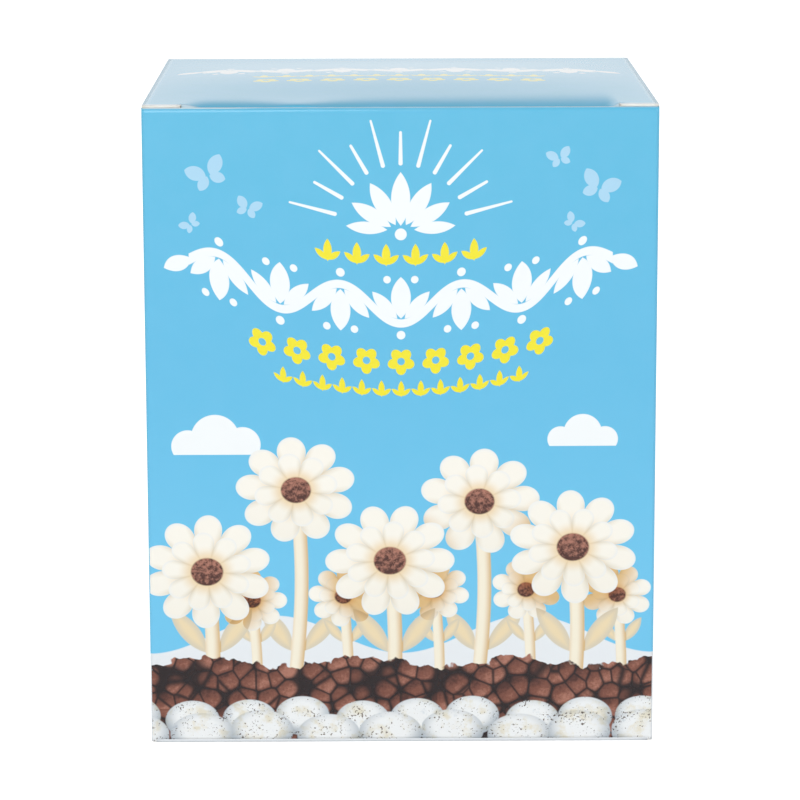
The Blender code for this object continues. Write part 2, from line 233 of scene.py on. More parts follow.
def tone(red, green, blue):  # a screen colour, 0 to 255, as the shader's linear one
    made = [v / 255 for v in (red, green, blue)]
    return (*[v / 12.92 if v <= 0.04045 else ((v + 0.055) / 1.055) ** 2.4 for v in made], 1.0)


# Printed artwork: every motif is drawn from distances in mm on the flat sheet

ink = {
    "skyTop": tone(95, 187, 223),
    "skyMiddle": tone(99, 188, 227),
    # painted light: the paler blue at the foot stands in for the floor's bounce
    "skyFoot": tone(112, 198, 237),
    "skyPale": tone(120, 197, 234),
    "ground": tone(229, 234, 238),
    "white": tone(241, 246, 248),
    "yellow": tone(240, 228, 48),
    "paleBlue": tone(170, 213, 238),
    "paleYellow": tone(238, 231, 124),
    "bare": tone(236, 237, 235),
}


def leafShape(paint, point, centre, degrees, length, width):  # where two circles overlap, as a distance
    across, up = paint.place(point, centre, degrees)
    reach = (length * length - width * width) / (4 * width)
    return paint.far([across, abs(up) + reach]) - (reach + width / 2)


def butterflyShape(paint, point, centre, size, tilt):  # two pairs of leaf-shaped wings, a thin gap between
    across, up = paint.place(point, centre, tilt, (size, size))
    wing = [abs(across), up]
    upper = leafShape(paint, wing, (1.9, 1.1), 42, 3.9, 2.5)
    lower = leafShape(paint, wing, (1.35, -1.1), -38, 2.8, 1.9)
    return paint.high(paint.low(upper, lower), 0.14 - wing[0]) * size


def dotShape(paint, point, centre, radius):  # the distance from its centre, less the radius
    return paint.far(paint.place(point, centre)) - radius


def numbered(paint, value, pitch, last):  # counts a row's motifs from its middle, none beyond the last
    offset = last - math.floor(last)
    if offset:
        number = paint.calc("ROUND", value / pitch - offset) + offset
    else:
        number = paint.calc("ROUND", value / pitch)
    return paint.low(paint.high(number, -last), last)


scroll = {"pitch": 15.3, "rise": 4.6, "stroke": 1.05, "last": 3}


def scrollShape(paint, point):  # a waving stem with three leaves and two berries at every turn
    across, up = point
    pitch = scroll["pitch"]
    phase = across * (math.pi / pitch)
    wave = paint.calc("COSINE", phase) * -scroll["rise"]
    slope = paint.calc("SINE", phase) * (scroll["rise"] * math.pi / pitch)
    stem = abs(up - wave) / (1 + slope * slope) ** 0.5 - scroll["stroke"]
    stem = paint.high(stem, abs(across) - (scroll["last"] + 0.5) * pitch)
    number = numbered(paint, across, pitch, scroll["last"])
    side = 1 - 2 * abs(paint.calc("MODULO", number, 2.0))
    local = [abs(across - number * pitch), up * side]
    return paint.low(
        stem,
        leafShape(paint, [abs(across), up], (56.4, -2.3), -40, 9.0, 3.4),
        leafShape(paint, local, (0.0, 2.0), 90, 10.6, 5.0),
        leafShape(paint, local, (4.1, 0.0), 47, 9.2, 3.2),
        dotShape(paint, local, (3.5, 6.6), 0.95),
        dotShape(paint, local, (0.0, -7.6), 1.1),
    )


def blossomsShape(paint, point, pitch, last):  # a row of five-petalled blossoms with open hearts
    local = [point[0] - numbered(paint, point[0], pitch, last) * pitch, point[1]]
    radius = paint.far(local)
    edge = abs(paint.calc("COSINE", paint.angle(local) * 2.5 + 0.8)) * 1.2 + 2.3
    return paint.high(radius - edge, 0.95 - radius)


def sprigsShape(paint, point, pitch, last, size):  # a row of sprigs with three leaves each
    across = abs(point[0] - numbered(paint, point[0], pitch, last) * pitch) / size
    local = [across, point[1] / size]
    upright = leafShape(paint, local, (0, 0.5), 90, 4.2, 1.6)
    return paint.low(upright, leafShape(paint, local, (1.2, -0.4), 38, 3.0, 1.15)) * size


crown = {
    "foot": (0.0, 134.0), "step": math.radians(15.0),
    "first": 17.2, "short": 7.8, "longer": 3.9, "ray": 0.52, "taper": 0.022,
}


def crownShape(paint, point):  # a fan of seven leaves, and slim rays round it, long and short by turns
    centred = paint.place(point, crown["foot"])
    radius = paint.far(centred)
    around = paint.calc("ARCTAN2", centred[0], centred[1])
    number = numbered(paint, around, crown["step"], 5)
    length = abs(paint.calc("MODULO", number, 2.0)) * crown["longer"] + crown["short"]
    out = radius - crown["first"]
    reach = paint.low(paint.high(out, 0.0), length)
    ray = paint.far([out - reach, (around - number * crown["step"]) * radius])
    ray = ray + reach * crown["taper"] - crown["ray"]
    folded = [abs(centred[0]), centred[1]]
    return paint.low(
        ray,
        leafShape(paint, folded, (0.0, 8.2), 90, 13.6, 4.8),
        leafShape(paint, folded, (4.5, 6.9), 59, 12.4, 4.2),
        leafShape(paint, folded, (7.4, 4.2), 32, 11.6, 3.7),
        leafShape(paint, folded, (8.6, 0.9), 6, 10.4, 3.1),
        dotShape(paint, folded, (0.0, -0.8), 1.5),
    )


butterflies = [  # place, size and tilt
    ((-48.5, 148.5), 1.45, 24),
    ((-38.5, 140.0), 0.95, -18),
    ((-53.0, 136.0), 0.75, 42),
    ((50.0, 145.0), 1.4, -20),
    ((40.0, 152.5), 0.9, 16),
    ((43.5, 136.0), 0.75, -38),
]


def butterfliesShape(paint, point):
    return paint.low(*[butterflyShape(paint, point, place, size, tilt) for place, size, tilt in butterflies])


title = {"scroll": 115.0, "blossoms": 100.6, "sprigs": 93.0, "topSprigs": 127.2, "hang": 0.0042}
lidTitle = {"scroll": 16.5, "blossoms": -9.0, "sprigs": 0.5}  # where each row's middle lies


def paintTitle(paint, colour):  # every row hangs lower in the middle
    x, z = paint.flat
    hung = z - x * x * title["hang"]
    white = paint.low(scrollShape(paint, [x, hung - title["scroll"]]), crownShape(paint, paint.flat))
    colour = paint.lay(colour, ink["white"], white)
    yellow = paint.low(
        blossomsShape(paint, [x, hung - title["blossoms"]], 8.8, 4),
        sprigsShape(paint, [x, hung - title["sprigs"]], 5.0, 6, 1.0),
        sprigsShape(paint, [x, hung - title["topSprigs"]], 7.4, 2.5, 1.35),
    )
    return paint.lay(colour, ink["yellow"], yellow)


def paintLidTitle(paint, colour):  # the same scroll over two straight rows
    x, z = paint.flat
    colour = paint.lay(colour, ink["white"], scrollShape(paint, [x, z - lidTitle["scroll"]]))
    yellow = paint.low(
        sprigsShape(paint, [x, z - lidTitle["sprigs"]], 6.0, 6, 1.3),
        blossomsShape(paint, [x, z - lidTitle["blossoms"]], 8.8, 4),
    )
    return paint.lay(colour, ink["paleYellow"], yellow)


# The picture: a bed of white daisies under small clouds, edged with pale speckled stones

flowers = [  # middle of a row, pitch, last number, sway, radius and petals; the back row first
    ((-3.5, 66.5), 47.0, 0.5, 3.0, 15.4, 9),
    ((8.5, 39.5), 23.5, 2, 1.4, 9.0, 8),
    ((-3.0, 49.0), 47.0, 1, 3.4, 16.6, 10),
]
petal = {
    "light": tone(246, 243, 233),
    "rim": tone(232, 236, 238),
    "fold": tone(214, 204, 182),
    "warm": tone(238, 204, 146),
    "shadow": tone(226, 192, 140),
    "stem": tone(243, 236, 216),
    "stemShade": tone(208, 170, 112),
    "leaf": tone(234, 216, 178),
}
earth = {
    "gap": tone(34, 24, 26),
    "dark": tone(78, 46, 40),
    "middle": tone(124, 76, 62),
    "light": tone(172, 118, 100),
    "top": 21.5,
    "crumb": 4.6,
}
stone = {
    "light": tone(238, 241, 242),
    "shade": tone(170, 180, 190),
    "speck": tone(92, 78, 70),
    "stain": tone(222, 214, 188),
    "cool": tone(180, 194, 208),
    "rows": (((4.0, 6.6), 14.6, (7.0, 5.2)), ((-3.0, 2.6), 16.4, (8.2, 5.6))),  # middle, pitch, half sizes
}


def headPlace(paint, row):  # a point's place from the middle of its nearest head
    middle, pitch, last, sway = row[:4]
    x, z = paint.place(paint.flat, middle)
    number = numbered(paint, x, pitch, last)
    lift = paint.calc("SINE", number * 5.1 + middle[0]) * sway
    return [x - number * pitch, z - lift], number


def paintStems(paint, colour, row):  # pale stems with a pair of leaves above the earth
    x, z = headPlace(paint, row)[0]
    size = row[4]
    bent = x + paint.calc("SINE", z * 0.07) * 1.3
    width = size * 0.07 + 0.7
    stem = paint.high(abs(bent) - width, z)
    leaf = leafShape(paint, [abs(bent), paint.flat[1]], (size * 0.36, 30.0), 52, size * 0.9, size * 0.3)
    lit = paint.fade(petal["stem"], petal["stemShade"], abs(bent + 0.5), 0.3, width + 1.0)
    edged = paint.fade(petal["leaf"], petal["fold"], leaf, -size * 0.13, 0.0)
    lit = paint.fade(lit, edged, abs(bent), width, width + 0.4)
    return paint.lay(colour, lit, paint.low(stem, leaf), 0.25)


def paintHeads(paint, colour, mass, row):  # two rings of petals round a brown heart
    local, number = headPlace(paint, row)
    radius, petals = row[4:]
    shade = paint.ramp(paint.far([local[0] / 1.1, local[1] + 2.4]), radius * 0.7, radius * 1.12, 1.0, 0.0)
    colour = paint.darken(shade * mass, colour, petal["shadow"])  # of the heads, on those behind
    turn = number * 0.9 + row[0][1]
    for size, extra, count in ((1.0, 0.0, petals), (0.7, 0.5, petals - 1)):
        reach = radius * size
        x, z = paint.place(local, (0, 0), 0, (reach, reach * 0.9))
        distance = paint.far([x, z])
        ridge = abs(paint.calc("COSINE", (paint.angle([x, z]) + turn + extra) * (count / 2)))
        edge = ridge ** 0.45 * 0.4 + 0.6
        lit = paint.low(ridge ** 0.6 * 1.2, paint.ramp(distance, 0.1, 0.66, 0.2, 1.0)) + z * 0.14
        made = paint.mix(lit, petal["fold"], petal["light"])
        made = paint.fade(made, petal["warm"], distance, 0.2, 0.7, 0.8, 0.0)
        made = paint.fade(made, petal["rim"], edge - distance, 0.0, 0.1, 0.5, 0.0)
        inside = paint.cover((distance - edge) * reach, 0.25)
        colour = paint.mix(inside, colour, made)
        mass = paint.high(mass, inside)
    heart = paint.place(local, (0, 0), 0, (radius * 0.25, radius * 0.22))
    grain = paint.noise(1.1, 2.0, 0.7) + heart[1] * 0.1
    seeds = paint.fade(earth["dark"], earth["light"], grain, 0.35, 0.7)
    return paint.lay(colour, seeds, (paint.far(heart) - 1) * (radius * 0.24), 0.4), mass


def paintEarth(paint, colour):  # a bed of round crumbs of earth right across the front
    x, z = paint.flat
    shape = z - earth["top"] + paint.calc("SINE", x * 0.16) * 1.3 + (paint.noise(4.0, 2.0) - 0.5) * 6
    pebbles = paint.node("TexVoronoi", inputs={"Vector": paint.raw, "Scale": 1000 / earth["crumb"]})
    own = paint.out("TexWhiteNoise", 0, inputs={"Vector": Wire(paint, pebbles.outputs["Position"])})
    distance = Wire(paint, pebbles.outputs["Distance"])
    lit = paint.cells(earth["crumb"], place=paint.moved((0.0005, -0.0009, 0))) - distance
    lift = lit * 1.5 + own * 0.4 + paint.noise(0.8, 3.0, 0.7) * 0.9 - 0.26
    crumb = paint.fade(earth["dark"], earth["middle"], lift, -0.1, 0.45)
    crumb = paint.fade(crumb, earth["light"], lift, 0.4, 0.95)
    crumb = paint.fade(crumb, earth["gap"], distance, 0.5, 0.78, 0.0, 0.95)
    joints = paint.cells(earth["crumb"], "DISTANCE_TO_EDGE")
    crumb = paint.fade(crumb, earth["gap"], joints, 0.0, 0.1, 0.9, 0.0)
    return paint.lay(colour, crumb, shape, 0.3)


def paintStones(paint, colour):  # two rows of pale speckled stones, the lower edge cuts the front row
    stain = paint.noise(5.0, 4.0, 0.65)
    glaze = paint.fade(stone["light"], stone["stain"], stain, 0.48, 0.68, 0.0, 0.75)
    glaze = paint.fade(glaze, stone["cool"], stain, 0.4, 0.28, 0.0, 0.6)
    dots = paint.noise(0.62, 2.0, 0.6) + paint.noise(4.5, 1.0) * 0.42
    glaze = paint.fade(glaze, stone["speck"], dots, 0.84, 0.9)
    for middle, pitch, halves in stone["rows"]:
        x, z = paint.place(paint.flat, middle)
        number = paint.calc("ROUND", x / pitch)
        x = x - number * pitch + paint.calc("SINE", number * 2.3) * 0.6
        z = z + paint.calc("SINE", number * 4.1) * 0.7
        far = paint.far([x / halves[0], z / halves[1]])
        shade = paint.ramp(far - z * 0.05, 0.45, 1.1, 0.0, 0.85)
        colour = paint.lay(colour, paint.darken(shade, glaze, stone["shade"]), (far - 1) * halves[1], 0.25)
    return colour


hills = {"middle": 29.0, "swing": 5.0, "pitch": 65.0}


def paintHills(paint, colour):  # two pale hills, as a cosine wave across the front
    wave = paint.calc("COSINE", paint.flat[0] * (2 * math.pi / hills["pitch"])) * hills["swing"]
    return paint.lay(colour, ink["ground"], paint.flat[1] + wave - hills["middle"], 0.3)


clouds = [  # foot of a cloud, and its bumps: place across, place up and radius
    ((-47.5, 76.5), ((-7.0, 2.2, 4.2), (0.0, 4.2, 6.2), (7.0, 2.6, 4.6))),
    ((46.0, 78.5), ((-5.4, 1.8, 3.3), (0.3, 3.4, 4.9), (6.0, 1.8, 3.3))),
]


def cloudsShape(paint, point):  # round bumps on a level foot
    shapes = []
    for foot, bumps in clouds:
        x, z = paint.place(point, foot)
        bumped = paint.low(*[dotShape(paint, [x, z], (across, up), radius) for across, up, radius in bumps])
        shapes.append(paint.high(bumped, 0 - z))
    return paint.low(*shapes)


def paintSky(paint):  # the blue ground of the print, a little lighter towards its foot, that lightening being painted light for the floor's bounce
    z = paint.flat[1]
    sky = paint.fade(ink["skyTop"], ink["skyMiddle"], z, 165, 95)
    # painted light: paler towards the foot, standing in for light bounced up from the floor
    sky = paint.fade(sky, ink["skyFoot"], z, 110, 25)
    return paint.fade(sky, ink["skyPale"], paint.noise(9.0, 3.0, 0.6), 0.3, 0.7, 0.0, 0.1)


coating = {"gloss": 0.12, "matt": 0.42, "bump": 0.006}
bandLevels = np.array([28.0, 88.0])  # the front's ink is mixed in three bands, each quick to shade


def printed(paint, colour, finish="gloss"):  # the print under its thin clear coating, with the paper's grain
    grain = paint.noise(0.35, 3.0, 0.6) * 0.5 + paint.noise(7.0, 2.0) * 1.6
    return paint.surface(colour, coating[finish], grain, coating["bump"])


def titleInk():  # the upper part of the front, with a painted highlight along its top edge, stronger towards the left, where the board's white edge also shows
    paint = Paint("front_title", "flat")
    colour = paint.lay(paintSky(paint), ink["paleBlue"], butterfliesShape(paint, paint.flat))
    colour = paintTitle(paint, colour)
    x, z = paint.flat
    # painted highlight: a pale band just under the top edge, stronger towards the left, with some of the
    # board's white edge
    wearAndHighlight = paint.ramp(z, frontTop - 0.4, frontTop - 0.1) * paint.ramp(x, -46.0, -34.0, 0.65, 0.2)
    return printed(paint, paint.mix(wearAndHighlight, colour, ink["bare"]))


def flowersInk():
    paint = Paint("front_flowers", "flat")
    colour = paint.lay(paintSky(paint), ink["white"], cloudsShape(paint, paint.flat))
    colour = paintHills(paint, colour)
    mass = 0.0
    for row in flowers:
        colour = paintStems(paint, colour, row)
        colour, mass = paintHeads(paint, colour, mass, row)
    return printed(paint, colour)


def footInk():
    paint = Paint("front_bed", "flat")
    colour = paintHills(paint, paintSky(paint))
    for row in flowers:
        colour = paintStems(paint, colour, row)
    return printed(paint, paintStones(paint, paintEarth(paint, colour)))


def plainInk():  # the sides and the back: plain ground over a pale foot
    paint = Paint("side_print", "flat")
    foot = paint.flat[1] - (hills["middle"] - hills["swing"])
    return printed(paint, paint.lay(paintSky(paint), ink["ground"], foot, 0.3))


def lidInk():  # worn along its front edge towards the shoulders
    paint = Paint("lid_print", "flat")
    colour = paint.fade(ink["skyTop"], ink["skyMiddle"], paint.noise(9.0, 3.0), 0.3, 0.7)
    x, z = paint.flat
    wearAndHighlight = paint.ramp(z, -54.5, -56.5) * paint.ramp(abs(x), 46.0, 52.0, 0.0, 0.6)
    return printed(paint, paint.mix(wearAndHighlight, paintLidTitle(paint, colour), ink["bare"]))


def flapInk(name, bled, reach):  # coated white, with the ink's bleed next to the crease
    paint = Paint(name, "flat")
    rim = abs(paint.flat[1]) + paint.noise(1.2, 2.0) * 0.3 - reach
    return printed(paint, paint.lay(ink["bare"], ink[bled], rim, 0.25), "matt")


def rawInk():  # grey-white board with fine fibres and a few flecks
    paint = Paint("raw_board", "flat")
    fibre = paint.noise(0.5, 4.0, 0.7, paint.moved(size=(1.0, 0.25, 1.0)))
    pale = paint.ramp(fibre + paint.noise(5.0) * 0.5, 0.55, 0.95)
    colour = paint.mix(pale, tone(212, 208, 198), tone(229, 226, 218))
    fleck = paint.ramp(paint.noise(0.45, 1.0), 0.72, 0.78, 0.0, 0.5)
    colour = paint.mix(fleck, colour, tone(172, 160, 142))
    return paint.surface(colour, 0.75, fibre, 0.03)


def cutInk():  # the sheet's layers at its cut edges
    paint = Paint("cut_edge")
    layer = paint.noise(0.8, 2.0, 0.5, paint.moved(size=(0.3, 0.3, 4.0)))
    colour = paint.fade(tone(222, 220, 212), tone(240, 240, 236), layer, 0.3, 0.7)
    return paint.surface(colour, 0.8, layer, 0.03)


def blockInk():  # white mycelium over sawdust: brown specks, yellowish stains and a felted skin
    paint = Paint("mycelium")
    skin = paint.noise(26.0, 4.0, 0.6)
    colour = paint.fade(tone(240, 240, 236), tone(222, 214, 196), skin, 0.42, 0.7)
    dust = paint.ramp(paint.noise(1.6, 3.0, 0.65) + skin * 0.35, 0.72, 0.86)
    colour = paint.mix(dust, colour, tone(132, 98, 66))
    chips = paint.ramp(paint.cells(3.2, place=paint.moved(size=(1, 1, 0.55))), 0.18, 0.1, 0.0, 0.75)
    colour = paint.mix(chips, colour, tone(92, 62, 42))
    stain = paint.ramp(paint.noise(17.0, 2.0, 0.5), 0.58, 0.74, 0.0, 0.5)
    colour = paint.mix(stain, colour, tone(214, 178, 112))
    felt = paint.noise(0.9, 4.0, 0.7) + paint.noise(5.0, 2.0) * 1.4
    return paint.surface(colour, 0.85, felt, 0.6)


def filmInk():  # clear film: thin, glossy, with fine creases
    paint = Paint("clear_film")
    crease = paint.noise(7.0, 3.0, 0.55, paint.moved(size=(1.0, 1.0, 0.35)))
    layers = paint.ramp(paint.far(paint.flat), 16.0, 5.0, 0.2, 0.75)  # the neck is many layers thick
    sockets = {"Alpha": layers, "Specular IOR Level": 0.7}
    return paint.surface(tone(232, 238, 240), 0.12, crease, 0.5, sockets)


def packetInk():  # film over casing soil: dark crumbs, reddish ones and pale grains, a clear coat on top
    paint = Paint("soil_in_film")
    crumbs = paint.cells(2.6)
    own = paint.noise(2.4, 1.0)
    colour = paint.fade(tone(58, 40, 32), tone(122, 80, 58), own, 0.36, 0.66)
    colour = paint.fade(colour, tone(24, 18, 18), crumbs, 0.42, 0.7, 0.0, 0.85)
    pale = paint.ramp(paint.noise(1.3, 1.0), 0.68, 0.74, 0.0, 0.8)
    colour = paint.mix(pale, colour, tone(206, 196, 178))
    lumps = paint.cells(2.6) * -0.5 + paint.noise(9.0, 3.0) * 1.5
    return paint.surface(colour, 0.4, lumps, 0.5, {"Coat Weight": 0.7, "Coat Roughness": 0.15})


looks = {
    "title": titleInk(),
    "flowers": flowersInk(),
    "foot": footInk(),
    "bottom": flapInk("bottom_print", "ground", 5.2),
    "block": blockInk(),
    "film": filmInk(),
    "packet": packetInk(),
    "plain": plainInk(),
    "lid": lidInk(),
    "flap": flapInk("flap_print", "skyTop", 4.2),
    "raw": rawInk(),
    "cut": cutInk(),
}
print("materials: inks and bare board are mixed")


# Board pieces: the printed side is a grid, the thickness goes inwards from it

def linked(name, data):
    made = bpy.data.objects.new(name, data)
    bpy.context.scene.collection.objects.link(made)
    return made


def stand(piece, body, node):  # the piece rides on a body and stands for a solid of the frame
    if body:
        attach(piece, body)
    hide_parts(node)


def joined(*parts):  # coordinates of one point each, spread over the grid that they span together
    return np.stack(np.broadcast_arrays(*parts), -1)


def meshFrom(name, points, faces, flat=None):  # places in mm, and the flat sheet's as the print's UV
    mesh = bpy.data.meshes.new(name)
    mesh.from_pydata(points.reshape(-1, 3) * mm, [], faces.tolist())
    if flat is not None:
        layer = mesh.uv_layers.new(name="flat")
        loops = np.empty(len(mesh.loops), int)
        mesh.loops.foreach_get("vertex_index", loops)
        layer.data.foreach_set("uv", (flat.reshape(-1, 2)[loops] * mm).ravel())
    mesh.shade_smooth()
    mesh.set_sharp_from_angle(angle=math.radians(40))
    return linked(name, mesh)


def gridFaces(rows, columns, keep=None, closed=False):  # four corners of every cell of a grid
    row, column = np.mgrid[0:rows - 1, 0:columns - (0 if closed else 1)]
    after = (column + 1) % columns
    faces = np.stack([row * columns + column, row * columns + after,
                      (row + 1) * columns + after, (row + 1) * columns + column], -1)
    return faces[keep] if keep is not None else faces.reshape(-1, 4)


# its points and its print's places on a grid, less the cells that keep leaves out
def boardPiece(name, points, flat, outward, look, body, node, keep=None):
    faces = gridFaces(*points.shape[:2], keep)
    if outward:  # the first face's normal has to point there
        corners = points.reshape(-1, 3)[faces[0]]
        normal = np.cross(corners[1] - corners[0], corners[3] - corners[0])
        if normal @ np.array(outward, float) < 0:
            faces = faces[:, ::-1]
    piece = meshFrom(name, points, faces, flat)
    for each in (look, looks["raw"], looks["cut"]):  # outside, inside and cut edges
        piece.data.materials.append(each)
    thick = piece.modifiers.new("thickness", "SOLIDIFY")
    thick.thickness = board * mm
    thick.offset = -1
    thick.material_offset = 1
    thick.material_offset_rim = 2
    stand(piece, body, node)
    return piece


def along(points):  # distance from the first row of points, summed from row to row
    steps = np.linalg.norm(np.diff(points, axis=0), axis=-1)
    return np.concatenate([[0.0], np.cumsum(steps)])


def arcPoints(centre, radius, start, end, count):  # centre plus radius times cosine and sine
    turn = np.radians(np.linspace(start, end, count))
    return np.stack([centre[0] + radius * np.cos(turn), centre[1] + radius * np.sin(turn)], -1)


wall = {
    "bulge": 0.25, "seam": 0.2, "cut": 0.2, "cutRoom": 0.1, "evenFrom": 4.0, "evenTo": 156.0,
    "lap": 14.0, "lapGap": 0.05, "lapFoot": 0.4, "lapTop": 0.3, "lapSlant": 0.25,
}
creaseFoot = 1.2  # the lid's and the dust flaps' sheets start this far below their hinge line
layerRise = board + gap
bottomFoot = {"front": 0.0, "side": layerRise, "back": 2 * layerRise}  # underside of each bottom flap


def swell(share):  # 0 at both ends with level tangents, 1 in the middle
    return np.sin(np.pi * np.clip(share, 0, 1)) ** 2


def straight(start, end, count):  # evenly spaced points, both ends among them
    start, end = np.array(start, float), np.array(end, float)
    return start + (end - start) * np.linspace(0, 1, count)[:, None]


def makeTube():  # one sheet, seen from above as a path: lap, left wall, front, right wall and back
    r, w, d = creaseRadius, halfWidth, halfDepth
    under = d - board - wall["lapGap"]
    low, high = dustLow[1] - wall["cutRoom"], dustHigh[1] + wall["cutRoom"]
    side = np.concatenate([
        np.linspace(-d + r, low - wall["cut"], 3),
        np.linspace(low, high, 29),
        np.linspace(high + wall["cut"], d - r, 3),
    ])
    side = np.stack([np.full(len(side), w), side], -1)
    path = np.concatenate([
        straight((-w + wall["lap"], under), (-w + r, under), 8),
        arcPoints((-w + r, under - r), r, 90, 180, 9)[1:],
        (side * (-1, 1))[::-1][1:],
        arcPoints((-w + r, -d + r), r, 180, 270, 9)[1:],
        straight((-w + r, -d), (w - r, -d), 61)[1:],
        arcPoints((w - r, -d + r), r, -90, 0, 9)[1:],
        side[1:],
        arcPoints((w - r, d - r), r, 0, 90, 9)[1:],
        straight((w - r, d), (-w + wall["seam"], d), 31)[1:],
    ])
    distance = along(path)
    near = 0.001
    inFront = np.abs(path[:, 1] + d) < near
    inBack = np.abs(path[:, 1] - d) < near
    inSide = np.abs(np.abs(path[:, 0]) - w) < near
    inLap = (path[:, 0] > -w + 0.05) & ~inSide & (distance < 1.5 * wall["lap"])
    foot = np.full(len(path), wall["lapFoot"])
    foot[inFront] = bottomFoot["front"] + r
    foot[inSide] = bottomFoot["side"] + r
    foot[inBack] = bottomFoot["back"] + r
    top = np.full(len(path), frontTop)
    underDust = (path[:, 1] > low - near) & (path[:, 1] < high + near)
    top[inSide & underDust] = jointAt["dust_left_crease"][2] - creaseFoot
    top[inSide & ~underDust] = wallTop
    top[inBack] = jointAt["lid_crease"][2] - creaseFoot
    top[inLap] = top[inBack][0] - wall["lapTop"] - (path[inLap, 0] + w) * wall["lapSlant"]
    middle = np.union1d(np.linspace(wall["evenFrom"], wall["evenTo"], 62), bandLevels)
    below = foot + (middle[0] - foot) * np.linspace(0, 1, 5)[:-1, None]
    above = middle[-1] + (top - middle[-1]) * np.linspace(0, 1, 8)[1:, None]
    z = np.concatenate([below, np.repeat(middle[:, None], len(path), 1), above])
    swollen = wall["bulge"] * swell(z / height)
    x = path[None, :, 0] + np.sign(path[:, 0]) * inSide * swollen * swell((path[:, 1] + d) / (2 * d))
    outwards = np.where(inFront, -1, 0) + inBack
    y = path[None, :, 1] + outwards * swollen * swell((path[:, 0] + w) / (2 * w))
    across = distance - np.interp(0.0, path[inFront, 0], distance[inFront])
    piece = boardPiece(
        "tube_walls", joined(x, y, z), joined(across, z), None, looks["plain"], "carton", "carton_walls"
    )
    # the thickness becomes real faces, and the outer ones from corner to corner of the front get its inks
    solid = piece.evaluated_get(bpy.context.evaluated_depsgraph_get())
    piece.data = bpy.data.meshes.new_from_object(solid)
    piece.modifiers.clear()
    for look in ("title", "flowers", "foot"):
        piece.data.materials.append(looks[look])
    slots = np.empty(len(piece.data.polygons), np.int32)
    piece.data.polygons.foreach_get("material_index", slots)
    middles = np.empty(3 * len(slots))
    piece.data.polygons.foreach_get("center", middles)
    y, z = middles.reshape(-1, 3)[:, 1:].T / mm
    band = 5 - np.searchsorted(bandLevels, z)
    cornerMiddle = r * (1 - math.cos(math.pi / 4))
    printedFront = (slots == 0) & (y < -d + cornerMiddle)
    slots[printedFront] = band[printedFront]
    piece.data.polygons.foreach_set("material_index", slots)


lid = {
    "drop": 2.4,
    "length": 40.0,
    "power": 8.0,
    "lean": 3.5,
    "fall": (0.68, 1.2),  # shares of the drop at the left and the right end
    "hump": (8.0, -26.0, 10.0, 0.85),  # added power, place, reach and the share of the fall that it takes
    "crown": 1.2,
    "ease": (8.0, 3.5),  # how softly the bow begins beside the left and the right shoulder
    "bendRadius": 1.8,
    "shoulder": 10.0,
    "slit": 0.15,
    "edge": 0.2,
}
frontInside = -halfDepth + board + gap
tuckLean = math.atan2(tuckHigh[1] - tuckLow[1] - board, tuckHigh[2] - tuckLow[2])


def lidProfile():  # y and z down the middle, the share of the bow, and the shoulder's y
    foot = jointAt["lid_crease"][2]
    slope = math.atan(lid["power"] * lid["drop"] / lid["length"])
    start = frontInside + lid["bendRadius"] * (1 - math.sin(slope))
    wallPart = np.stack([np.full(5, halfDepth), np.linspace(foot - creaseFoot, foot, 5)], -1)
    crease = arcPoints((halfDepth - creaseRadius, height - creaseRadius), creaseRadius, 0, 90, 9)
    flatPart = np.linspace(crease[-1, 0], start + lid["length"], 26)[1:]
    bowPart = start + lid["length"] * (1 - np.linspace(0, 1, 31)[1:])
    reach = np.concatenate([flatPart, bowPart])
    share = np.clip((start + lid["length"] - reach) / lid["length"], 0, 1)
    flatPoints = np.stack([reach, np.full(len(reach), height)], -1)
    turn = np.linspace(slope, math.pi / 2 + tuckLean, 16)[1:]
    bendY = start - lid["bendRadius"] * (np.sin(turn) - math.sin(slope))
    bendZ = height - lid["bendRadius"] * (math.cos(slope) - np.cos(turn))
    bend = np.stack([bendY, bendZ], -1)
    points = np.concatenate([wallPart, crease, flatPoints, bend])
    before = len(points) - len(reach) - len(turn)
    shares = np.concatenate([np.zeros(before), share, np.ones(len(turn))])
    shoulder = np.full(len(points), np.nan)
    shoulder[-len(turn):] = start + (-halfDepth - start) * np.linspace(0, 1, 16)[1:]
    return points, shares, shoulder


def humpAt(x):  # 1 where the bow stays highest, 0 far from there
    return np.exp(-((x - lid["hump"][1]) / lid["hump"][2]) ** 2)


def fallAt(x):  # how far the tuck crease hangs: less towards the left, least at the hump
    share = lid["fall"][0] + (lid["fall"][1] - lid["fall"][0]) * (x / halfWidth + 1) / 2
    return lid["drop"] * share * (1 - lid["hump"][3] * humpAt(x))


